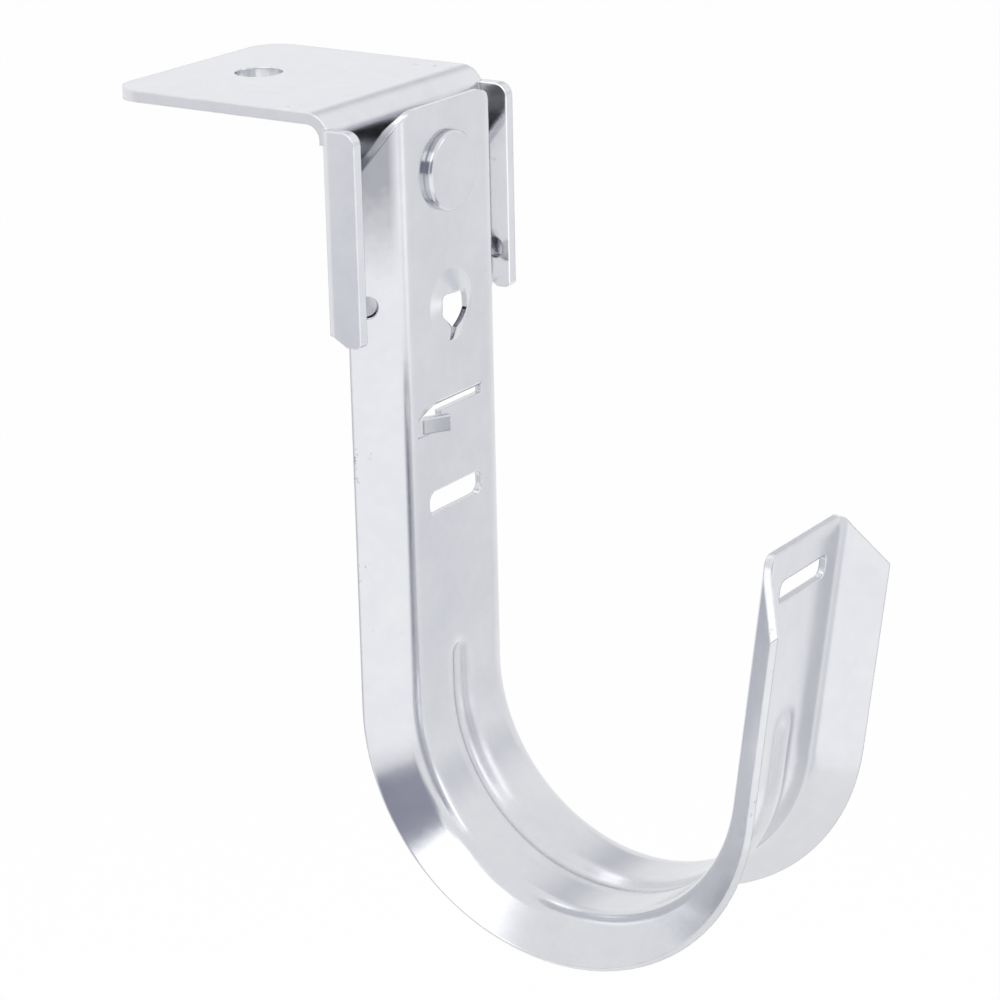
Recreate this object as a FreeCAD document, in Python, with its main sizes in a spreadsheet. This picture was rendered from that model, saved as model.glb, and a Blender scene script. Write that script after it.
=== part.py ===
"""Cable support: a J hook folded from one strip of galvanised sheet, held by one rivet in an
angle bracket that screws to a ceiling.

Frame: +Z up, X from the bracket's plate towards the hook's tip, Y across the strip.
The origin is the centre of the screw hole on the plate's upper face, the face that meets the
ceiling. Lengths are in millimetres, angles in degrees.
"""

import FreeCAD, Part
import math
import os
import re

import Sketcher

Vector = FreeCAD.Vector

SIZES = {
    # Hook: one strip folded to a shallow channel, its flanges turned away from the cables
    "hook_sheet": 1.0,
    "web_width": 21.3,  # between the virtual corners of the two folds
    "flange_width": 7.8,  # virtual corner to free edge
    "flange_fold": 44.0,
    "fold_radius": 4.4,  # outside of the fold, on the cable side
    "loop_radius": 25.4,  # cable side of the loop
    "hook_drop": 0.8,  # ceiling face down to the hook's upper edge
    "spine_length": 84.6,  # upper edge down to the loop's centre
    "arm_length": 36.0,  # end of the loop's arc to the tip
    "arm_lean": 7.2,  # the arm leans away from the spine
    # Ends of the hook: straight across the web, cut back along the flanges
    "spine_end_width": 20.4,
    "spine_end_cut": 10.1,
    "spine_end_corner": 5.2,
    "tip_end_width": 19.6,
    "tip_end_cut": 8.5,
    "tip_end_corner": 3.0,
    # Openings in the hook
    "slot_width": 12.8,
    "slot_height": 3.4,
    "slot_corner": 1.4,
    "slot_drop": 56.0,  # hook's upper edge to the middle of the slot
    "tip_slot_width": 12.6,
    "tip_slot_height": 3.3,
    "tip_slot_corner": 1.1,
    "tip_slot_drop": 6.3,  # tip to the middle of its slot
    "slit_side": 6.9,  # middle of the web to the slit's free end
    "slit_height": 0.9,
    "slit_drop": 42.6,  # hook's upper edge to the middle of the slit
    "slit_taper": 2.6,  # the slit's upper edge slopes down to the tongue
    "slit_lip": 0.8,  # rounding of the web's cable side above the slit
    "flange_hole": 3.0,
    "flange_hole_drop": 26.0,
    "flange_hole_inset": 5.3,  # virtual corner to the hole's centre
    # Tongue under the slit, folded out towards the cables on a vertical line
    "tongue_side": 7.7,  # middle of the web to the fold
    "tongue_length": 4.3,
    "tongue_height": 2.3,
    "tongue_fold": 31.0,
    "tongue_bend": 1.0,  # inside of the tongue's fold
    "tongue_gap": 0.3,  # free end and lower edge to the window they leave
    # Eye: a ring pressed into one turn of screw thread, split below its opening
    "eye_drop": 28.5,  # hook's upper edge to the middle of the ring
    "eye_rim": 10.2,
    "eye_seat": 0.4,  # reach of the ring into the web around it
    "eye_sink": 0.1,  # web's face down to the ring's face at its rim
    "eye_bore": 3.0,
    "eye_lift": 0.6,  # web's face up to the bore, at the low end of the turn
    "eye_rise": 1.1,  # from the low end of the turn to the high one
    "eye_split": 8.0,  # angle left open between the ring's two ends
    "eye_opening_left": 2.8,
    "eye_opening_right": 2.5,
    "eye_opening_top": 1.9,
    "eye_opening_shoulder": 1.1,  # middle of the ring down to where the opening narrows
    "eye_opening_point": 3.4,
    "eye_opening_corner": 0.9,
    # Bead: a round groove on the cable side of the loop, a ridge behind it
    "bead_width": 3.6,
    "bead_depth": 0.8,
    "bead_run_in": 4.5,  # reach up the spine from the loop's centre
    "bead_run_out": 8.0,  # reach up the arm
    "bead_lip": 0.7,  # rounding along the groove's edges
    # Angle bracket
    "bracket_sheet": 1.6,
    "side_clearance": 1.0,  # hook's free edge to the cheek beside it
    "hole_to_leg": 25.6,  # screw hole's axis to the front of the leg
    "hole_to_end": 12.2,
    "screw_hole": 6.8,
    "plate_corner": 5.0,
    "plate_inset": 0.6,  # outer face of a cheek to the plate's side edge
    "bracket_bend": 2.0,  # inside of the bend between plate and leg
    "leg_bottom": 30.2,  # ceiling face down to the leg's lower edge
    "cheek_bend": 0.4,  # inside of the bend between leg and cheek
    "cheek_reach": 4.4,  # front of the leg to the cheek's front edge
    "cheek_top": 2.0,
    "cheek_bottom": 31.4,
    "cheek_corner": 1.9,
    "cheek_foot_corner": 0.9,
    "cheek_slope": 2.2,  # reach of the sloping edge between leg and cheek
    "bend_relief": 0.6,  # straight stretch of the leg between the bend and the cheeks' folds
    "seat_width": 3.0,  # blind round seats inside the cheeks
    "seat_depth": 0.9,
    "seat_inset": 1.8,  # front of the leg to the seat's centre
    "seat_drop": 25.7,  # ceiling face down to the seat's centre
    # Rivet
    "rivet_drop": 9.6,  # hook's upper edge to the rivet's axis
    "rivet_head": 11.1,
    "rivet_head_height": 1.15,
    "rivet_rim": 0.35,  # bevel round the head's face
    "rivet_shank": 5.0,
    "rivet_clearance": 0.1,
    "rivet_upset": 8.0,
    "rivet_upset_face": 6.4,
    "rivet_upset_height": 1.6,
}

# Derived places, as formulas in the names above
FLANGE_DEPTH = "flange_width * sin(flange_fold)"
HOOK_HALF = "(web_width / 2 + flange_width * cos(flange_fold))"
CHANNEL_DEPTH = f"({FLANGE_DEPTH} + hook_sheet * cos(flange_fold))"
WEB_X = f"(hole_to_leg + {CHANNEL_DEPTH})"
LOOP_Z = "-(hook_drop + spine_length)"
LOOP_ARC = "(180 - arm_lean)"
CHEEK_Y = f"({HOOK_HALF} + side_clearance)"
BRACKET_HALF = f"({CHEEK_Y} + bracket_sheet)"
LEG_BACK = "(hole_to_leg - bracket_sheet)"
BEND_OUTSIDE = "(bracket_bend + bracket_sheet)"
RIVET_Z = "-(hook_drop + rivet_drop)"
EYE_Z = "-(hook_drop + eye_drop)"
SLIT_LOW = "(-(hook_drop + slit_drop) - slit_height / 2)"
SLIT_HIGH = "(-(hook_drop + slit_drop) + slit_height / 2)"
GROOVE_RADIUS = "((bead_width ^ 2 / 4 + bead_depth ^ 2) / (2 * bead_depth))"
GROOVE_AHEAD = f"({GROOVE_RADIUS} - bead_depth)"
ARM_X = f"({WEB_X} + loop_radius * (1 - cos({LOOP_ARC})))"
ARM_Z = f"({LOOP_Z} - loop_radius * sin({LOOP_ARC}))"
ARM_TURN = (Vector(0, -1, 0), LOOP_ARC)
EYE_SECTIONS = 13

WORD = re.compile(r"[a-z][a-z_]*")
doc = FreeCAD.newDocument("CableSupport")


def fill_sheet():
    """Write each driving size into the spreadsheet, under its own name."""
    spreadsheet = doc.addObject("Spreadsheet::Sheet", "Sizes")
    for row, (name, size) in enumerate(SIZES.items(), start=1):
        spreadsheet.set(f"A{row}", name)
        spreadsheet.set(f"B{row}", str(size))
        spreadsheet.setAlias(f"B{row}", name)
    doc.recompute()
    return spreadsheet


def named(formula):
    """Point the size names in a formula at the spreadsheet."""
    return WORD.sub(lambda word: f"Sizes.{word.group()}" if word.group() in SIZES else word.group(), formula)


def value(formula):
    return float(sheet.evalExpression(named(formula)))


def bind(feature, **formulas):
    """Bind properties of a feature to formulas, then recompute."""
    for name, formula in formulas.items():
        feature.setExpression(name, named(formula))
    doc.recompute()
    return feature


def new_sketch(body, name, plane, offset=("0", "0", "0"), turn=None):
    """Add a sketch on one of the body's origin planes, moved and turned within that plane's frame."""
    sketch = body.newObject("Sketcher::SketchObject", name)
    support = next(item for item in body.Origin.OriginFeatures if item.Role == plane)
    sketch.AttachmentSupport = [(support, "")]
    sketch.MapMode = "FlatFace"
    if turn:
        axis, angle = turn
        sketch.AttachmentOffset = FreeCAD.Placement(Vector(), FreeCAD.Rotation(axis, value(angle)))
        sketch.setExpression("AttachmentOffset.Rotation.Angle", named(angle))
    for axis, formula in zip("xyz", offset):
        sketch.setExpression(f"AttachmentOffset.Base.{axis}", named(formula))
    return sketch


def pin(sketch, geometry, end, across, up):
    """Fix one point of a sketch by two formulas."""
    for kind, formula in (("DistanceX", across), ("DistanceY", up)):
        index = sketch.addConstraint(Sketcher.Constraint(kind, geometry, end, value(formula)))
        sketch.setExpression(f"Constraints[{index}]", named(formula))


def outline(sketch, corners):
    """Draw a closed outline. Each corner is (across, up, rounding), and a rounding of None is sharp."""
    places = [Vector(value(across), value(up), 0) for across, up, rounding in corners]
    radii = [value(rounding) if rounding else 0.0 for across, up, rounding in corners]
    arrivals, departures, arcs = [], [], []
    for index, (place, radius) in enumerate(zip(places, radii)):
        back = (places[index - 1] - place).normalize()
        ahead = (places[(index + 1) % len(places)] - place).normalize()
        half_angle = back.getAngle(ahead) / 2
        trim = radius / math.tan(half_angle)
        arrivals.append(place + back * trim)
        departures.append(place + ahead * trim)
        if radius:
            centre = place + (back + ahead).normalize() * (radius / math.sin(half_angle))
            turns_left = back.cross(ahead).z < 0
            ends = (arrivals[-1], departures[-1]) if turns_left else (departures[-1], arrivals[-1])
            angles = [math.atan2(end.y - centre.y, end.x - centre.x) for end in ends]
            circle = Part.Circle(centre, Vector(0, 0, 1), radius)
            arcs.append((Part.ArcOfCircle(circle, *angles), turns_left))
        else:
            arcs.append(None)
    sides = [
        sketch.addGeometry(Part.LineSegment(start, arrivals[(index + 1) % len(places)]))
        for index, start in enumerate(departures)
    ]
    for index, (across, up, rounding) in enumerate(corners):
        before, after = sides[index - 1], sides[index]
        if arcs[index] is None:
            sketch.addConstraint(Sketcher.Constraint("Coincident", before, 2, after, 1))
            pin(sketch, after, 1, across, up)
            continue
        shape, turns_left = arcs[index]
        arc = sketch.addGeometry(shape)
        corner = sketch.addGeometry(Part.Point(places[index]), True)
        pin(sketch, corner, 1, across, up)
        for side in (before, after):
            sketch.addConstraint(Sketcher.Constraint("PointOnObject", corner, 1, side))
        first, last = (1, 2) if turns_left else (2, 1)
        sketch.addConstraint(Sketcher.Constraint("Tangent", before, 2, arc, first))
        sketch.addConstraint(Sketcher.Constraint("Tangent", arc, last, after, 1))
        radius = sketch.addConstraint(Sketcher.Constraint("Radius", arc, radii[index]))
        sketch.setExpression(f"Constraints[{radius}]", named(rounding))


def circle(sketch, across, up, diameter):
    shape = Part.Circle(Vector(value(across), value(up), 0), Vector(0, 0, 1), value(diameter) / 2)
    index = sketch.addGeometry(shape)
    pin(sketch, index, 3, across, up)
    size = sketch.addConstraint(Sketcher.Constraint("Diameter", index, value(diameter)))
    sketch.setExpression(f"Constraints[{size}]", named(diameter))


def rounded_slot(sketch, up, width, height, corner):
    """Draw a rounded rectangle centred across the sheet, its middle at the height up."""
    left, right = f"-{width} / 2", f"{width} / 2"
    low, high = f"{up} - {height} / 2", f"{up} + {height} / 2"
    outline(sketch, [(left, low, corner), (right, low, corner), (right, high, corner), (left, high, corner)])


def feature(body, kind, name, profile, **settings):
    """Add a PartDesign feature made from a sketch."""
    item = body.newObject(f"PartDesign::{kind}", name)
    item.Profile = profile
    for setting, choice in settings.items():
        setattr(item, setting, choice)
    return item


def cut_both_ways(body, name, profile, length):
    pocket = feature(body, "Pocket", name, profile, SideType="Symmetric")
    return bind(pocket, Length=length)


sheet = fill_sheet()


def channel_section(sketch):
    """The hook's section: web along Y, flanges folded back, one sheet thick all along."""
    outer_corner = "web_width / 2"
    inner_corner = "(web_width / 2 - hook_sheet * tan(flange_fold / 2))"
    edge_x = f"-{FLANGE_DEPTH}"
    back_x = f"-{CHANNEL_DEPTH}"
    back_y = f"({HOOK_HALF} - hook_sheet * sin(flange_fold))"
    inside = "fold_radius - hook_sheet"
    outline(sketch, [
        (edge_x, f"-{HOOK_HALF}", None),
        (back_x, f"-{back_y}", None),
        ("-hook_sheet", f"-{inner_corner}", inside),
        ("-hook_sheet", inner_corner, inside),
        (back_x, back_y, None),
        (edge_x, HOOK_HALF, None),
        ("0", outer_corner, "fold_radius"),
        ("0", f"-{outer_corner}", "fold_radius"),
    ])


def end_cuts(sketch, end_width, cut, corner, end):
    """Draw the two waste pieces beside the end of the strip, where the flanges are cut back."""
    side = f"({HOOK_HALF} + side_clearance)"
    slope = f"({cut} / ({HOOK_HALF} - {end_width} / 2))"
    low = f"({end} - {slope} * ({side} - {end_width} / 2))"
    high = f"({end} + {cut})"
    inner = f"({end_width} / 2 - {corner})"
    for sign in ("", "-"):
        outline(sketch, [
            (f"{sign}{side}", low, None),
            (f"{sign}{side}", high, None),
            (f"{sign}{inner}", high, None),
            (f"{sign}{inner}", end, None),
            (f"{sign}{end_width} / 2", end, corner),
        ])


def loop_axis(sketch):
    """Add the loop's axis to a section of the loop, as a construction line."""
    ends = [Vector(value("loop_radius"), side * value("web_width"), 0) for side in (1, -1)]
    axis = sketch.addGeometry(Part.LineSegment(*ends), True)
    pin(sketch, axis, 1, "loop_radius", "web_width")
    pin(sketch, axis, 2, "loop_radius", "-web_width")
    return sketch, ["Axis0"]


def ridge_section(sketch):
    """The back of the bead: a segment of a circle that starts inside the web's thickness."""
    radius = f"({GROOVE_RADIUS} + hook_sheet)"
    chord = "(-hook_sheet / 2)"
    centre = Vector(value(GROOVE_AHEAD), 0, 0)
    half_angle = math.acos((centre.x - value(chord)) / value(radius))
    shape = Part.ArcOfCircle(
        Part.Circle(centre, Vector(0, 0, 1), value(radius)), math.pi - half_angle, math.pi + half_angle
    )
    arc = sketch.addGeometry(shape)
    side = sketch.addGeometry(Part.LineSegment(shape.EndPoint, shape.StartPoint))
    sketch.addConstraint(Sketcher.Constraint("Coincident", arc, 2, side, 1))
    sketch.addConstraint(Sketcher.Constraint("Coincident", side, 2, arc, 1))
    pin(sketch, arc, 3, GROOVE_AHEAD, "0")
    size = sketch.addConstraint(Sketcher.Constraint("Radius", arc, value(radius)))
    sketch.setExpression(f"Constraints[{size}]", named(radius))
    sketch.addConstraint(Sketcher.Constraint("Vertical", side))
    place = sketch.addConstraint(Sketcher.Constraint("DistanceX", side, 1, value(chord)))
    sketch.setExpression(f"Constraints[{place}]", named(chord))


def ball(body, kind, name, place, turn, **formulas):
    """Add or cut a ball, or the cap of one, centred on a bead's end."""
    item = body.newObject(f"PartDesign::{kind}Sphere", name)
    support = next(part for part in body.Origin.OriginFeatures if part.Role == "XY_Plane")
    item.AttachmentSupport = [(support, "")]
    item.MapMode = "FlatFace"
    axis, angle = turn
    item.AttachmentOffset = FreeCAD.Placement(Vector(), FreeCAD.Rotation(axis, value(angle)))
    item.setExpression("AttachmentOffset.Rotation.Angle", named(angle))
    for axis_name, formula in zip("xyz", place):
        item.setExpression(f"AttachmentOffset.Base.{axis_name}", named(formula))
    return bind(item, **formulas)


def add_bead(body):
    """Press the bead along the middle of the loop: ridge first, then the groove in front of it."""
    start_place, end_place = (WEB_X, "0", LOOP_Z), (ARM_X, "0", ARM_Z)
    start_ball = (f"{WEB_X} + {GROOVE_AHEAD}", "0", f"{LOOP_Z} + bead_run_in")
    end_ball = (
        f"{ARM_X} + bead_run_out * sin(arm_lean) - {GROOVE_AHEAD} * cos(arm_lean)",
        "0",
        f"{ARM_Z} + bead_run_out * cos(arm_lean) + {GROOVE_AHEAD} * sin(arm_lean)",
    )
    across = Vector(0, 1, 0)
    backwards = ((across, "-90"), (across, "90 + arm_lean"))

    ridge = new_sketch(body, "RidgeStart", "XY_Plane", start_place)
    ridge_section(ridge)
    axis = loop_axis(ridge)
    bind(feature(body, "Pad", "RidgeOnSpine", ridge), Length="bead_run_in")
    bind(feature(body, "Revolution", "RidgeOnLoop", ridge, ReferenceAxis=axis), Angle=LOOP_ARC)
    ridge_end = new_sketch(body, "RidgeEnd", "XY_Plane", end_place, ARM_TURN)
    ridge_section(ridge_end)
    bind(feature(body, "Pad", "RidgeOnArm", ridge_end, Reversed=True), Length="bead_run_out")
    radius = f"({GROOVE_RADIUS} + hook_sheet)"
    from_angle = f"asin(({GROOVE_AHEAD} + hook_sheet / 2) / {radius})"
    for name, place, turn in (("RidgeTop", start_ball, backwards[0]), ("RidgeTail", end_ball, backwards[1])):
        ball(body, "Additive", name, place, turn, Radius=radius, Angle1=from_angle)

    groove = new_sketch(body, "GrooveStart", "XY_Plane", start_place)
    circle(groove, GROOVE_AHEAD, "0", f"2 * {GROOVE_RADIUS}")
    axis = loop_axis(groove)
    bind(feature(body, "Pocket", "GrooveOnSpine", groove, Reversed=True), Length="bead_run_in")
    bind(feature(body, "Groove", "GrooveOnLoop", groove, ReferenceAxis=axis), Angle=LOOP_ARC)
    groove_end = new_sketch(body, "GrooveEnd", "XY_Plane", end_place, ARM_TURN)
    circle(groove_end, GROOVE_AHEAD, "0", f"2 * {GROOVE_RADIUS}")
    bind(feature(body, "Pocket", "GrooveOnArm", groove_end), Length="bead_run_out")
    for name, place, turn in (("GrooveTop", start_ball, backwards[0]), ("GrooveTail", end_ball, backwards[1])):
        ball(body, "Subtractive", name, place, turn, Radius=GROOVE_RADIUS)
    round_edges(
        body, "GrooveLip", "bead_lip",
        lambda edge, middle: near(abs(middle.y), "bead_width / 2") and near(middle.x, WEB_X),
    )


def add_slit_and_tongue(body):
    """Cut the slit and the window under it, and fold the tongue out of that window."""
    fold_y = "(-tongue_side)"
    window_left = f"({fold_y} - hook_sheet)"
    window_right = f"({fold_y} + tongue_length + tongue_gap)"
    openings = new_sketch(body, "SlitAndWindow", "YZ_Plane", ("0", "0", WEB_X))
    outline(openings, [
        (window_left, f"{SLIT_LOW} - tongue_height - tongue_gap", None),
        (window_right, f"{SLIT_LOW} - tongue_height - tongue_gap", None),
        (window_right, SLIT_LOW, None),
        ("slit_side", SLIT_LOW, None),
        ("slit_side", SLIT_HIGH, None),
        (f"{window_left} + tongue_gap + slit_taper", SLIT_HIGH, None),
        (window_left, SLIT_LOW, None),
    ])
    cut_both_ways(body, "SlitCut", openings, "4 * hook_sheet")
    round_edges(
        body, "SlitLip", "slit_lip",
        lambda edge, middle: near(middle.x, WEB_X) and near(middle.z, SLIT_HIGH)
        and edge.Length > value("slit_side"),
    )

    # Seen from above: along the web up to the fold, then out towards the cables
    reach_x, reach_y = "sin(tongue_fold)", "cos(tongue_fold)"
    tip_x, tip_y = f"({WEB_X} + tongue_length * {reach_x})", f"({fold_y} + tongue_length * {reach_y})"
    flap = new_sketch(body, "TongueOutline", "XY_Plane", ("0", "0", f"{SLIT_LOW} - tongue_height"))
    outline(flap, [
        (f"{WEB_X} - hook_sheet", window_left, None),
        (f"{WEB_X} - hook_sheet", f"{fold_y} + hook_sheet * tan(tongue_fold / 2)", "tongue_bend + hook_sheet"),
        (f"{tip_x} - hook_sheet * {reach_y}", f"{tip_y} + hook_sheet * {reach_x}", None),
        (tip_x, tip_y, None),
        (WEB_X, fold_y, "tongue_bend"),
        (WEB_X, window_left, None),
    ])
    bind(feature(body, "Pad", "Tongue", flap), Length="tongue_height")


def add_eye(body):
    """Press one turn of thread round the eye: each section of the ring stands higher than the last."""
    seat = new_sketch(body, "EyeSeatCircle", "YZ_Plane", ("0", "0", WEB_X))
    circle(seat, "0", EYE_Z, "eye_rim")
    cut_both_ways(body, "EyeSeat", seat, "4 * hook_sheet")
    sections = []
    for step in range(EYE_SECTIONS):
        share = f"{step} / {EYE_SECTIONS - 1}"
        around = f"180 - eye_split / 2 - (360 - eye_split) * {share}"
        rise = f"(eye_lift + eye_rise * {share})"
        section = new_sketch(
            body, f"EyeSection{step}", "XZ_Plane", (WEB_X, EYE_Z, "0"), (Vector(1, 0, 0), around)
        )
        outline(section, [
            ("-eye_sink", "eye_rim / 2 + eye_seat", None),
            ("-hook_sheet + eye_sink", "eye_rim / 2 + eye_seat", None),
            (f"{rise} - hook_sheet", "eye_bore / 2", None),
            (rise, "eye_bore / 2", None),
        ])
        sections.append(section)
    ring = feature(body, "AdditiveLoft", "EyeRing", sections[0])
    ring.Sections = sections[1:]
    doc.recompute()

    opening = new_sketch(body, "EyeOpeningOutline", "YZ_Plane", ("0", "0", WEB_X))
    outline(opening, [
        ("-eye_opening_left", f"{EYE_Z} + eye_opening_top", "eye_opening_corner"),
        ("eye_opening_right", f"{EYE_Z} + eye_opening_top", "eye_opening_corner"),
        ("eye_opening_right", f"{EYE_Z} - eye_opening_shoulder", "eye_opening_corner"),
        ("0", f"{EYE_Z} - eye_opening_point", None),
        ("-eye_opening_left", f"{EYE_Z} - eye_opening_shoulder", "eye_opening_corner"),
    ])
    cut_both_ways(body, "EyeOpening", opening, "8 * hook_sheet")


def make_hook():
    body = doc.addObject("PartDesign::Body", "j_hook")

    start = new_sketch(body, "LoopStartSection", "XY_Plane", (WEB_X, "0", LOOP_Z))
    channel_section(start)
    axis = loop_axis(start)
    spine = feature(body, "Pad", "Spine", start)
    bind(spine, Length="spine_length")
    loop = feature(body, "Revolution", "Loop", start, ReferenceAxis=axis)
    bind(loop, Angle=LOOP_ARC)

    end = new_sketch(body, "LoopEndSection", "XY_Plane", (ARM_X, "0", ARM_Z), ARM_TURN)
    channel_section(end)
    arm = feature(body, "Pad", "Arm", end, Reversed=True)
    bind(arm, Length="arm_length")
    add_bead(body)

    spine_face = new_sketch(body, "SpineEndOutline", "YZ_Plane", ("0", "0", WEB_X))
    end_cuts(spine_face, "spine_end_width", "spine_end_cut", "spine_end_corner", "-hook_drop")
    cut_both_ways(body, "SpineEnd", spine_face, f"4 * {CHANNEL_DEPTH}")

    spine_holes = new_sketch(body, "SpineOpenings", "YZ_Plane", ("0", "0", WEB_X))
    rounded_slot(spine_holes, "-(hook_drop + slot_drop)", "slot_width", "slot_height", "slot_corner")
    circle(spine_holes, "0", RIVET_Z, "rivet_shank + 2 * rivet_clearance")
    cut_both_ways(body, "SpineCutouts", spine_holes, "4 * hook_sheet")
    add_slit_and_tongue(body)
    add_eye(body)

    # The tip's sketch lies in the arm's cable side, with its height measured along the arm
    tip = ("0", f"{ARM_Z} + arm_length * cos(arm_lean)", f"{ARM_X} + arm_length * sin(arm_lean)")
    lean = (Vector(1, 0, 0), "arm_lean")
    tip_face = new_sketch(body, "TipOutline", "YZ_Plane", tip, lean)
    end_cuts(tip_face, "tip_end_width", "tip_end_cut", "tip_end_corner", "0")
    cut_both_ways(body, "TipEnd", tip_face, f"4 * {CHANNEL_DEPTH}")
    tip_holes = new_sketch(body, "TipOpening", "YZ_Plane", tip, lean)
    rounded_slot(tip_holes, "-tip_slot_drop", "tip_slot_width", "tip_slot_height", "tip_slot_corner")
    cut_both_ways(body, "TipSlot", tip_holes, "4 * hook_sheet")

    for side, sign in (("Right", ""), ("Left", "-")):
        fold = (Vector(0, 1, 0), f"{sign}flange_fold")
        corner = (f"{sign}web_width / 2", "0", WEB_X)
        face = new_sketch(body, f"{side}FlangeOpening", "YZ_Plane", corner, fold)
        circle(face, f"{sign}flange_hole_inset", "-(hook_drop + flange_hole_drop)", "flange_hole")
        cut_both_ways(body, f"{side}FlangeHole", face, "4 * hook_sheet")
    return body


def edges_where(shape, test):
    """Names of the edges whose middle and direction pass a test."""
    names = []
    for number, edge in enumerate(shape.Edges, start=1):
        middle = edge.valueAt((edge.FirstParameter + edge.LastParameter) / 2)
        if test(edge, middle):
            names.append(f"Edge{number}")
    return names


def round_edges(body, name, radius, test):
    base = body.Tip
    fillet = body.newObject("PartDesign::Fillet", name)
    fillet.Base = (base, edges_where(base.Shape, test))
    return bind(fillet, Radius=radius)


def near(first, formula):
    return abs(first - value(formula)) < 1e-4


def make_bracket():
    body = doc.addObject("PartDesign::Body", "angle_bracket")
    front = "(hole_to_leg + cheek_reach)"
    fold_start = f"({BEND_OUTSIDE} + bend_relief)"

    # Leg and cheeks, as one fold-up seen from above
    section = new_sketch(body, "LegAndCheeks", "XY_Plane", ("0", "0", "-cheek_bottom"))
    outline(section, [
        (LEG_BACK, f"-{BRACKET_HALF}", "cheek_bend + bracket_sheet"),
        (front, f"-{BRACKET_HALF}", None),
        (front, f"-{CHEEK_Y}", None),
        ("hole_to_leg", f"-{CHEEK_Y}", "cheek_bend"),
        ("hole_to_leg", CHEEK_Y, "cheek_bend"),
        (front, CHEEK_Y, None),
        (front, BRACKET_HALF, None),
        (LEG_BACK, BRACKET_HALF, "cheek_bend + bracket_sheet"),
    ])
    fold_up = feature(body, "Pad", "Leg", section)
    bind(fold_up, Length="cheek_bottom - cheek_top")

    # Seen from the side: between the cheeks the leg follows the bend's outer face
    bend_front = new_sketch(body, "BendFront", "XZ_Plane")
    outline(bend_front, [
        (f"{LEG_BACK} - {BEND_OUTSIDE}", "0", None),
        ("hole_to_leg", "0", BEND_OUTSIDE),
        ("hole_to_leg", f"-{fold_start}", None),
        ("hole_to_leg + cheek_bend", f"-{fold_start}", None),
        ("hole_to_leg + cheek_bend", "bracket_sheet", None),
        (f"{LEG_BACK} - {BEND_OUTSIDE}", "bracket_sheet", None),
    ])
    cut_both_ways(body, "BendClearance", bend_front, f"2 * {CHEEK_Y}")

    # Below, the leg stops short of the cheeks
    waste = new_sketch(body, "LegEnds", "XZ_Plane")
    behind = f"({LEG_BACK} - bracket_sheet)"
    outline(waste, [
        (behind, "-leg_bottom", None),
        (behind, "-cheek_bottom - bracket_sheet", None),
        ("hole_to_leg + cheek_slope", "-cheek_bottom - bracket_sheet", None),
        ("hole_to_leg + cheek_slope", "-cheek_bottom", None),
        ("hole_to_leg", "-leg_bottom", None),
    ])
    cut_both_ways(body, "LegTrim", waste, f"4 * {BRACKET_HALF}")
    for name, radius, level in (
        ("CheekCorners", "cheek_corner", "-cheek_top"),
        ("CheekFeet", "cheek_foot_corner", "-cheek_bottom"),
    ):
        round_edges(
            body, name, radius,
            lambda edge, middle: near(middle.x, front) and near(middle.z, level)
            and near(edge.Length, "bracket_sheet"),
        )

    # Plate and bend, seen from the side
    profile = new_sketch(body, "PlateAndBend", "XZ_Plane")
    outline(profile, [
        ("-hole_to_end", "0", None),
        ("hole_to_leg", "0", BEND_OUTSIDE),
        ("hole_to_leg", f"-{fold_start}", None),
        (LEG_BACK, f"-{fold_start}", None),
        (LEG_BACK, "-bracket_sheet", "bracket_bend"),
        ("-hole_to_end", "-bracket_sheet", None),
    ])
    plate = feature(body, "Pad", "Plate", profile, SideType="Symmetric")
    bind(plate, Length=f"2 * ({BRACKET_HALF} - plate_inset)")
    round_edges(
        body, "PlateCorners", "plate_corner",
        lambda edge, middle: near(middle.x, "-hole_to_end") and near(edge.Length, "bracket_sheet"),
    )

    screw = new_sketch(body, "ScrewHoleCircle", "XY_Plane")
    circle(screw, "0", "0", "screw_hole")
    cut_both_ways(body, "ScrewHole", screw, "4 * bracket_sheet")
    shank = new_sketch(body, "RivetHoleCircle", "YZ_Plane", ("0", "0", "hole_to_leg"))
    circle(shank, "0", RIVET_Z, "rivet_shank + 2 * rivet_clearance")
    cut_both_ways(body, "RivetHole", shank, "4 * bracket_sheet")

    for side, height, towards in (("Right", f"-{CHEEK_Y}", False), ("Left", CHEEK_Y, True)):
        face = new_sketch(body, f"{side}SeatCircle", "XZ_Plane", ("0", "0", height))
        circle(face, "hole_to_leg + seat_inset", "-seat_drop", "seat_width")
        seat = feature(body, "Pocket", f"{side}Seat", face, Reversed=towards)
        bind(seat, Length="seat_depth")
    return body


def make_rivet():
    """A flat round head on the cable side, a shank, and the upset end behind the leg."""
    body = doc.addObject("PartDesign::Body", "rivet")
    profile = new_sketch(body, "RivetProfile", "XZ_Plane", ("0", RIVET_Z, "0"))
    head_x = f"({WEB_X} + rivet_head_height)"
    end_x = f"({LEG_BACK} - rivet_upset_height)"
    outline(profile, [
        (end_x, "0", None),
        (head_x, "0", None),
        (head_x, "rivet_head / 2 - rivet_rim", None),
        (f"{head_x} - rivet_rim", "rivet_head / 2", None),
        (WEB_X, "rivet_head / 2", None),
        (WEB_X, "rivet_shank / 2", None),
        (LEG_BACK, "rivet_shank / 2", None),
        (LEG_BACK, "rivet_upset / 2", None),
        (end_x, "rivet_upset_face / 2", None),
    ])
    axis = profile.addGeometry(Part.LineSegment(Vector(value(end_x), 0, 0), Vector(value(head_x), 0, 0)), True)
    pin(profile, axis, 1, end_x, "0")
    pin(profile, axis, 2, head_x, "0")
    turned = feature(body, "Revolution", "Turned", profile, ReferenceAxis=(profile, ["Axis0"]))
    turned.Angle = 360
    doc.recompute()
    return body


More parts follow.
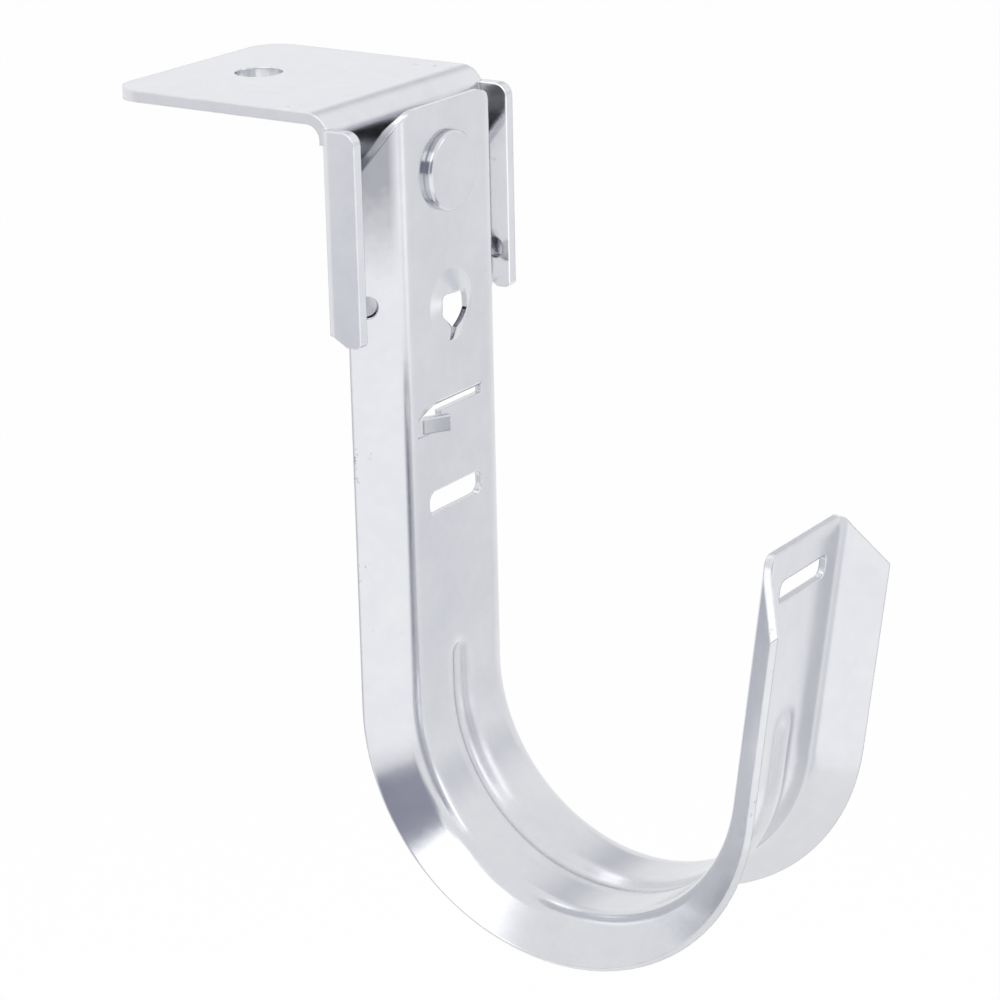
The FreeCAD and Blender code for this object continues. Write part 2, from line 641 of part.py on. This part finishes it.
def check(parts):
    """Stop unless every object of the document is sound and each part is one valid solid."""
    for item in doc.Objects:
        if "Invalid" in item.State or "Error" in item.State:
            raise RuntimeError(f"{item.Name} failed: {item.State}")
    for part in parts:
        if part.Shape.isNull() or not part.Shape.isValid() or len(part.Shape.Solids) != 1:
            raise RuntimeError(f"{part.Label} is not one valid solid")


parts = [make_hook(), make_bracket(), make_rivet()]
doc.recompute()
check(parts)
os.makedirs("parts", exist_ok=True)
for part in parts:
    part.Shape.exportStep(f"parts/{part.Label}.step")
    box = part.Shape.BoundBox
    print(part.Label, round(part.Shape.Volume, 1), "mm3, X", box.XMin, box.XMax, "Y", box.YMin, box.YMax,
          "Z", box.ZMin, box.ZMax)
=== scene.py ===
"""Sheet-metal J hook under an angle bracket: zinc finish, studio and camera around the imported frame.

Metres, in the frame's own axes: +Z up, +X from the plate towards the open mouth, origin in the screw hole.
Left is -Y, as the camera sees the hook.
"""

import math

import bpy
from mathutils import Matrix, Vector

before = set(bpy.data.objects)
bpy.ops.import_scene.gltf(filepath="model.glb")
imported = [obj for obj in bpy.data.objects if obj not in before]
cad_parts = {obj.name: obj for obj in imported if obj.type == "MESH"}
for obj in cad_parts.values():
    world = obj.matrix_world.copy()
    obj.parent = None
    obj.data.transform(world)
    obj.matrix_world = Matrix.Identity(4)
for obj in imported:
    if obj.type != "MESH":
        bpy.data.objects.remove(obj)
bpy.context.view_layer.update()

MM = 0.001

# Zinc: material name, pale and deep shade, scale of the drawn lines along X, Y and Z, and roughness.
# The lines run along the axis with the low scale. Shades here and below are sRGB, 0 to 255.
HOOK_ZINC = ("hook_zinc_finish", (219, 220, 224), (212, 213, 218), (2600.0, 2600.0, 60.0), 0.13)
BRACKET_ZINC = ("bracket_zinc_finish", (227, 228, 232), (219, 220, 225), (60.0, 2600.0, 2600.0), 0.17)
RIVET_ZINC = ("rivet_zinc_finish", (219, 220, 224), (212, 213, 218), (900.0, 900.0, 900.0), 0.12)

# Its noises: scale per metre, detail and roughness
CLOUD = (90.0, 3.0, 0.5)
BLOTCH = (420.0, 4.0, 0.6)
PEEL = (900.0, 2.0, 0.5)
GRAIN = (5200.0, 2.0, 0.6)
DRAWN = (1.0, 3.0, 0.55)
SPECKS = (700.0, 5.0, 0.7)
SPECK_GROUPS = (110.0, 2.0, 0.5)

# Ranges: the value at which an effect starts, and the one at which it is full
TONE_RANGE = (0.35, 0.65)
RUBBED_TURN = (0.98, 0.80)
RUBBED_BLOTCH = (0.35, 0.6)
SPECKS_RANGE = (0.60, 0.68)
GROUPS_RANGE = (0.50, 0.58)
RECESS_OPENNESS = (0.62, 0.22)
GLOSS_CLOUD = (0.3, 0.7)

# Places, as ranges of one coordinate too
BEAD_SIDE = (4.6 * MM, 3.4 * MM)
BEAD_TOP = (-73.0 * MM, -75.0 * MM)
FLANGE_INSIDE = (14.0 * MM, 15.2 * MM)
FLANGE_OUTSIDE = (16.9 * MM, 16.5 * MM)
ABOVE_LOOP_BOTTOM = (-96.0 * MM, -88.0 * MM)
UNDER_PLATE = (-13.0 * MM, -8.0 * MM)
TOWARDS_RIGHT = (11.0 * MM, 14.0 * MM)
LEFT_FLANGE = (-10.8 * MM, -12.0 * MM)
UNDER_CHEEK = (-19.0 * MM, -6.0 * MM)
FRONT_OF_LEG = (25.7 * MM, 26.1 * MM)
CHEEK_INSIDE = (17.5 * MM, 17.3 * MM)

# Colour: how cloud and blotch share the mottling, and what lies over it
CLOUD_WEIGHT = 0.6
BLOTCH_WEIGHT = 0.4
RUBBED_SHADE = (246, 247, 249)
RUBBED_WEIGHT = 0.3
SMUDGE_SHADE = (128, 131, 142)
SMUDGE_ON_FLANGE = 0.8
SMUDGE_ANYWHERE = 0.03
# Painted shade: a darker colour in the corners under the plate
PAINTED_RECESS_SHADE = (58, 59, 66)
RECESS_WEIGHT = 0.92
RECESS_WEIGHT_RIGHT = 0.3
RECESS_REACH = 6.0 * MM
# Painted shade on the hook's left flange under the bracket's cheek
CHEEK_PAINTED_SHADE = (104, 108, 118)
CHEEK_PAINTED_WEIGHT = 0.6
CHEEK_PAINTED_WAVER = 8.0 * MM
# Painted light: a brighter colour inside the bracket's cheeks
PAINTED_LIGHT_SHADE = (249, 249, 250)

# Edges, roughness and relief
EDGE_RADIUS = 0.35 * MM
BEAD_RADIUS = 2.6 * MM
SHADE_SAMPLES = 8
ROUGHNESS_DROP = 0.03
ROUGHNESS_RISE = 0.04
DRAWN_ROUGHNESS = 0.05
SMUDGE_ROUGHNESS = 0.2
GRAIN_RELIEF = 0.35
DRAWN_RELIEF = 0.35
PEEL_RELIEF = 2.0
BUMP_STRENGTH = 0.10
BUMP_DEPTH = 0.02 * MM

# Studio
MIDDLE = (0.05, 0.0, -0.05)
WHITE = (1.0, 1.0, 1.0, 1.0)
FLOOR_HEIGHT = -0.90
FLOOR_HALF = 12.0
FLOOR_SHADE = (250, 250, 250)
FLOOR_GLOW = 0.95
WORLD_LIGHT = 0.8
CARD_DISTANCE = 1.2

# Lamps: name, place, width and height, watts
LAMPS = (
    ("key", (0.25, -0.75, 0.85), (0.7, 0.7), 9.0),
    ("fill", (-0.7, -0.7, 0.3), (0.8, 0.8), 5.0),
    ("back", (-0.2, 0.9, 0.8), (0.9, 0.6), 5.0),
)

# Cards and soft boxes: name, heading and height in degrees, width and height, shade, strength, and the share
# of each half that fades
CARDS = (
    ("dark_strip", -50, 13, (0.95, 0.62), (157, 159, 174), 1.0, 0.08),
    ("glare_box", -77, 43, (1.5, 0.62), (255, 255, 255), 1.9, 0.35),
    ("front_box", -28, -25, (2.1, 0.95), (255, 255, 255), 1.17, 0.3),
    ("eye_box", 24, -12, (0.50, 0.34), (255, 255, 255), 1.35, 0.9),
    ("bead_box", 28, 25, (0.4, 0.9), (255, 255, 255), 1.8, 0.5),
    ("bend_box", 158, 58, (0.9, 0.45), (255, 255, 255), 2.2, 0.6),
    ("arm_box", 74, -33, (0.5, 0.5), (255, 255, 255), 1.15, 0.7),
    ("left_card", -127, -24, (1.2, 1.2), (228, 229, 233), 1.0, 0.7),
    ("fold_card", 22, -36, (0.6, 0.6), (238, 240, 243), 1.0, 0.8),
    ("web_card", 54, -22, (0.9, 0.8), (243, 244, 247), 1.0, 1.0),
    ("spine_card", 50, 9, (0.9, 0.55), (226, 228, 233), 1.0, 1.0),
    ("loop_card", 116, 31, (0.9, 0.6), (214, 216, 221), 1.0, 0.9),
    ("arm_card", 150, -24, (0.5, 0.7), (196, 199, 208), 1.0, 0.6),
)

# Camera: its angles are in radians, its focal length and sensor in millimetres
CAMERA_PLACE = (275.1824 * MM, -349.8203 * MM, 90.1794 * MM)
CAMERA_YAW, CAMERA_PITCH, CAMERA_ROLL = -0.977317, 0.334725, -0.021445
CAMERA_FOCAL, SENSOR = 115.430, 36.0
CLIP_NEAR, CLIP_FAR = 0.01, 20.0


# Node helpers


class Nodes:
    """A small wrapper that adds nodes to one tree and links them by socket name."""

    def __init__(self, tree):
        self.tree = tree
        tree.nodes.clear()

    def feed(self, socket, source):
        """Link a socket to another node's output, or set it to a plain value."""
        if hasattr(source, "links"):
            self.tree.links.new(source, socket)
        else:
            socket.default_value = source

    def add(self, kind, inputs=None, **settings):
        node = self.tree.nodes.new(kind)
        for name, setting in settings.items():
            setattr(node, name, setting)
        for socket, source in (inputs or {}).items():
            self.feed(node.inputs[socket], source)
        return node

    def place(self):
        """Object coordinates, and the same apart as X, Y and Z."""
        place = self.add("ShaderNodeTexCoord").outputs["Object"]
        return place, self.add("ShaderNodeSeparateXYZ", {0: place}).outputs

    def math(self, operation, first, second=0.0):
        return self.add("ShaderNodeMath", {0: first, 1: second}, operation=operation).outputs[0]

    def noise(self, vector, scale, detail, rough):
        node = self.add("ShaderNodeTexNoise",
                        {"Vector": vector, "Scale": scale, "Detail": detail, "Roughness": rough})
        return node.outputs["Fac"]

    def remap(self, value, low, high, to_low=0.0, to_high=1.0):
        node = self.add("ShaderNodeMapRange", {"Value": value, "From Min": low, "From Max": high,
                                               "To Min": to_low, "To Max": to_high})
        return node.outputs["Result"]

    def scaled(self, vector, scale):
        return self.add("ShaderNodeMapping", {"Vector": vector, "Scale": scale}).outputs["Vector"]

    def mix(self, factor, first, second):
        """A mix of two colours. The Mix node numbers its colour sockets 6 and 7, and their output 2."""
        return self.add("ShaderNodeMix", {0: factor, 6: first, 7: second}, data_type="RGBA").outputs[2]

    def seen(self):
        """1 for what the camera sees, plainly or in metal and glass, and 0 for what lights the object."""
        path = self.add("ShaderNodeLightPath")
        seen = self.math("MAXIMUM", path.outputs["Is Camera Ray"], path.outputs["Is Glossy Ray"])
        return self.math("MAXIMUM", seen, path.outputs["Is Transmission Ray"])


def new_material(name):
    """A material with an empty node tree, and the wrapper that fills it."""
    material = bpy.data.materials.new(name)
    material.use_nodes = True
    return material, Nodes(material.node_tree)


def linear(red, green, blue):
    """An sRGB colour in 0 to 255 as the linear one that shaders take."""
    def channel(value):
        value /= 255
        return value / 12.92 if value <= 0.04045 else ((value + 0.055) / 1.055) ** 2.4
    return (channel(red), channel(green), channel(blue), 1.0)


# Materials


def soft_edges(n, part):
    """The normal with its edges rounded: slightly on the sheet, and widely on the bead."""
    aside = n.math("ABSOLUTE", part["Y"])
    bead = n.math("MULTIPLY", n.remap(aside, *BEAD_SIDE), n.remap(part["Z"], *BEAD_TOP))
    radius = n.remap(bead, 0.0, 1.0, EDGE_RADIUS, BEAD_RADIUS)
    return n.add("ShaderNodeBevel", {"Radius": radius}, samples=SHADE_SAMPLES).outputs["Normal"]


def rubbed_edges(n, soft, blotch):
    """Edges rubbed bright in places, found where the rounded normal turns away from the flat one."""
    flat = n.add("ShaderNodeNewGeometry").outputs["Normal"]
    turn = n.add("ShaderNodeVectorMath", {0: soft, 1: flat}, operation="DOT_PRODUCT").outputs["Value"]
    rubbed = n.math("MULTIPLY", n.remap(turn, *RUBBED_TURN), n.remap(blotch, *RUBBED_BLOTCH))
    return n.math("MULTIPLY", rubbed, RUBBED_WEIGHT)


def smudges(n, place, part):
    """Small grey smudges in groups, on the hook's flanges above the loop's bottom, and faint elsewhere."""
    aside = n.math("ABSOLUTE", part["Y"])
    flange = n.math("MULTIPLY", n.remap(aside, *FLANGE_INSIDE), n.remap(aside, *FLANGE_OUTSIDE))
    flange = n.math("MULTIPLY", flange, n.remap(part["Z"], *ABOVE_LOOP_BOTTOM))
    specks = n.remap(n.noise(place, *SPECKS), *SPECKS_RANGE)
    groups = n.remap(n.noise(place, *SPECK_GROUPS), *GROUPS_RANGE)
    weight = n.math("ADD", n.math("MULTIPLY", flange, SMUDGE_ON_FLANGE), SMUDGE_ANYWHERE)
    return n.math("MULTIPLY", n.math("MULTIPLY", specks, groups), weight)


def painted_recess_shade(n, part):
    """Painted shade: a darker colour in the corners just under the plate, where ambient occlusion finds
    them, less so towards the right cheek.
    """
    recess = n.add("ShaderNodeAmbientOcclusion", {"Distance": RECESS_REACH}, samples=SHADE_SAMPLES)
    recess_shade = n.remap(recess.outputs["AO"], *RECESS_OPENNESS)
    recess_shade = n.math("MULTIPLY", recess_shade, n.remap(part["Z"], *UNDER_PLATE))
    return n.math("MULTIPLY", recess_shade, n.remap(part["Y"], *TOWARDS_RIGHT, RECESS_WEIGHT, RECESS_WEIGHT_RIGHT))


def painted_cheek_shade(n, part, blotch):
    """Painted shade: a darker colour on the hook's left flange where the bracket's cheek covers it, fading
    downwards.
    """
    level = n.math("ADD", part["Z"], n.math("MULTIPLY", blotch, CHEEK_PAINTED_WAVER))
    painted_shade = n.math("MULTIPLY", n.remap(part["Y"], *LEFT_FLANGE), n.remap(level, *UNDER_CHEEK))
    return n.math("MULTIPLY", painted_shade, CHEEK_PAINTED_WEIGHT), CHEEK_PAINTED_SHADE


def painted_cheek_light(n, part, blotch):
    """Painted light: a brighter colour on the inner faces of the cheeks, in front of the leg."""
    aside = n.math("ABSOLUTE", part["Y"])
    painted_light = n.math("MULTIPLY", n.remap(part["X"], *FRONT_OF_LEG), n.remap(aside, *CHEEK_INSIDE))
    return painted_light, PAINTED_LIGHT_SHADE


def zinc(name, pale, deep, roll, rough, patch=None):
    """Bright zinc on rolled sheet: mottling, grain, drawn lines, rubbed edges, smudges and painted shade in
    recesses.

    patch gives the factor and the colour of one more area: painted shade on the hook's left flange, painted
    light inside the bracket's cheeks.
    """
    material, n = new_material(name)
    place, part = n.place()
    cloud = n.noise(place, *CLOUD)
    blotch = n.noise(place, *BLOTCH)
    peel = n.noise(place, *PEEL)
    grain = n.noise(place, *GRAIN)
    drawn = n.noise(n.scaled(place, roll), *DRAWN)
    soft = soft_edges(n, part)
    smudge = smudges(n, place, part)

    tone = n.math("ADD", n.math("MULTIPLY", cloud, CLOUD_WEIGHT), n.math("MULTIPLY", blotch, BLOTCH_WEIGHT))
    colour = n.mix(n.remap(tone, *TONE_RANGE), linear(*deep), linear(*pale))
    colour = n.mix(rubbed_edges(n, soft, blotch), colour, linear(*RUBBED_SHADE))
    colour = n.mix(smudge, colour, linear(*SMUDGE_SHADE))
    # Painted shade in the corners under the plate
    colour = n.mix(painted_recess_shade(n, part), colour, linear(*PAINTED_RECESS_SHADE))
    # One more area: painted shade on the hook's left flange, painted light inside the bracket's cheeks
    if patch:
        factor, shade = patch(n, part, blotch)
        colour = n.mix(factor, colour, linear(*shade))

    gloss = n.remap(cloud, *GLOSS_CLOUD, rough - ROUGHNESS_DROP, rough + ROUGHNESS_RISE)
    gloss = n.math("ADD", gloss, n.math("MULTIPLY", drawn, DRAWN_ROUGHNESS))
    gloss = n.math("ADD", gloss, n.math("MULTIPLY", smudge, SMUDGE_ROUGHNESS))

    relief = n.math("ADD", n.math("MULTIPLY", grain, GRAIN_RELIEF), n.math("MULTIPLY", drawn, DRAWN_RELIEF))
    relief = n.math("ADD", relief, n.math("MULTIPLY", peel, PEEL_RELIEF))
    bump = n.add("ShaderNodeBump", {"Height": relief, "Strength": BUMP_STRENGTH, "Distance": BUMP_DEPTH,
                                    "Normal": soft})
    shader = n.add("ShaderNodeBsdfPrincipled", {"Base Color": colour, "Roughness": gloss,
                                                "Metallic": 1.0, "Normal": bump.outputs["Normal"]})
    n.add("ShaderNodeOutputMaterial", {"Surface": shader.outputs["BSDF"]})
    return material


def finish_nodes():
    """Give each CAD node its zinc, in every material slot that it has."""
    finish = {
        "j_hook": zinc(*HOOK_ZINC, patch=painted_cheek_shade),
        "angle_bracket": zinc(*BRACKET_ZINC, patch=painted_cheek_light),
        "rivet": zinc(*RIVET_ZINC),
    }
    for node, material in finish.items():
        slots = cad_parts[node].data.materials
        for index in range(len(slots)):
            slots[index] = material


# Studio


def rectangle(name, wide, high, level=0.0):
    """A flat rectangle round the Z axis, in the scene. wide and high are half its size."""
    corners = [(-wide, -high, level), (wide, -high, level), (wide, high, level), (-wide, high, level)]
    mesh = bpy.data.meshes.new(name)
    mesh.from_pydata(corners, [], [(0, 1, 2, 3)])
    flat = bpy.data.objects.new(name, mesh)
    bpy.context.scene.collection.objects.link(flat)
    return flat


def make_floor():
    """A pale floor well under the hook: white to the eye and to the metal, with the shadow kept."""
    floor = rectangle("floor", FLOOR_HALF, FLOOR_HALF, FLOOR_HEIGHT)
    material, n = new_material("floor_paper")
    paper = n.add("ShaderNodeBsdfDiffuse", {"Color": linear(*FLOOR_SHADE)})
    glow = n.add("ShaderNodeEmission", {"Color": WHITE, "Strength": 1.0})
    share = n.math("MULTIPLY", n.seen(), FLOOR_GLOW)
    both = n.add("ShaderNodeMixShader", {0: share, 1: paper.outputs[0], 2: glow.outputs[0]})
    n.add("ShaderNodeOutputMaterial", {"Surface": both.outputs[0]})
    floor.data.materials.append(material)


def make_world():
    """A white background that lights the object a little less than it shows."""
    world = bpy.data.worlds.new("studio")
    bpy.context.scene.world = world
    world.use_nodes = True
    n = Nodes(world.node_tree)
    around = n.add("ShaderNodeBackground", {"Color": WHITE, "Strength": WORLD_LIGHT})
    behind = n.add("ShaderNodeBackground", {"Color": WHITE, "Strength": 1.0})
    both = n.add("ShaderNodeMixShader", {0: n.seen(), 1: around.outputs[0], 2: behind.outputs[0]})
    n.add("ShaderNodeOutputWorld", {"Surface": both.outputs[0]})


def make_lamp(name, place, size, power):
    """A soft lamp for the floor's shadow. The metal shows the cards instead of it."""
    light = bpy.data.lights.new(name, "AREA")
    light.shape = "RECTANGLE"
    light.size, light.size_y = size
    light.energy = power
    lamp = bpy.data.objects.new(name, light)
    lamp.location = place
    lamp.rotation_mode = "QUATERNION"
    lamp.rotation_quaternion = (Vector(MIDDLE) - Vector(place)).to_track_quat("-Z", "Y")
    bpy.context.scene.collection.objects.link(lamp)
    lamp.visible_glossy = False


def make_card(name, heading, height, size, shade, strength, fade):
    """A card or soft box that only the metal shows, at CARD_DISTANCE from the middle of the hook.

    Its light fades out towards its edges, over the share fade of its half width and half height.
    """
    heading, height = math.radians(heading), math.radians(height)
    towards = Vector((math.cos(height) * math.cos(heading),
                      math.cos(height) * math.sin(heading),
                      math.sin(height)))
    wide, high = size[0] / 2, size[1] / 2
    card = rectangle(name, wide, high)
    card.location = Vector(MIDDLE) + CARD_DISTANCE * towards
    card.rotation_mode = "QUATERNION"
    card.rotation_quaternion = towards.to_track_quat("Z", "Y")
    card.visible_camera = False
    card.visible_diffuse = False
    card.visible_shadow = False
    material, n = new_material(name + "_shade")
    part = n.place()[1]
    across = n.remap(n.math("ABSOLUTE", part["X"]), wide, wide * (1 - fade))
    along = n.remap(n.math("ABSOLUTE", part["Y"]), high, high * (1 - fade))
    share = n.math("MULTIPLY", across, along)
    glow = n.add("ShaderNodeEmission", {"Color": linear(*shade), "Strength": strength})
    clear = n.add("ShaderNodeBsdfTransparent", {"Color": WHITE})
    both = n.add("ShaderNodeMixShader", {0: share, 1: clear.outputs[0], 2: glow.outputs[0]})
    n.add("ShaderNodeOutputMaterial", {"Surface": both.outputs[0]})
    card.data.materials.append(material)


def make_studio():
    make_floor()
    make_world()
    for lamp in LAMPS:
        make_lamp(*lamp)
    for card in CARDS:
        make_card(*card)


# Camera


def make_camera():
    """The photograph's camera, aimed by yaw and pitch, and turned round its line of sight by roll."""
    look = Vector((-math.cos(CAMERA_PITCH) * math.cos(CAMERA_YAW),
                   -math.cos(CAMERA_PITCH) * math.sin(CAMERA_YAW),
                   -math.sin(CAMERA_PITCH)))
    level = look.cross(Vector((0, 0, 1))).normalized()
    upright = level.cross(look)
    right = math.cos(CAMERA_ROLL) * level + math.sin(CAMERA_ROLL) * upright
    up = -math.sin(CAMERA_ROLL) * level + math.cos(CAMERA_ROLL) * upright
    data = bpy.data.cameras.new("camera")
    data.sensor_width, data.lens = SENSOR, CAMERA_FOCAL
    data.clip_start, data.clip_end = CLIP_NEAR, CLIP_FAR
    camera = bpy.data.objects.new("camera", data)
    turned = Matrix((right, up, -look)).transposed().to_4x4()
    camera.matrix_world = Matrix.Translation(CAMERA_PLACE) @ turned
    bpy.context.scene.collection.objects.link(camera)
    bpy.context.scene.camera = camera


finish_nodes()
make_studio()
make_camera()
bpy.context.scene.view_settings.view_transform = "Standard"
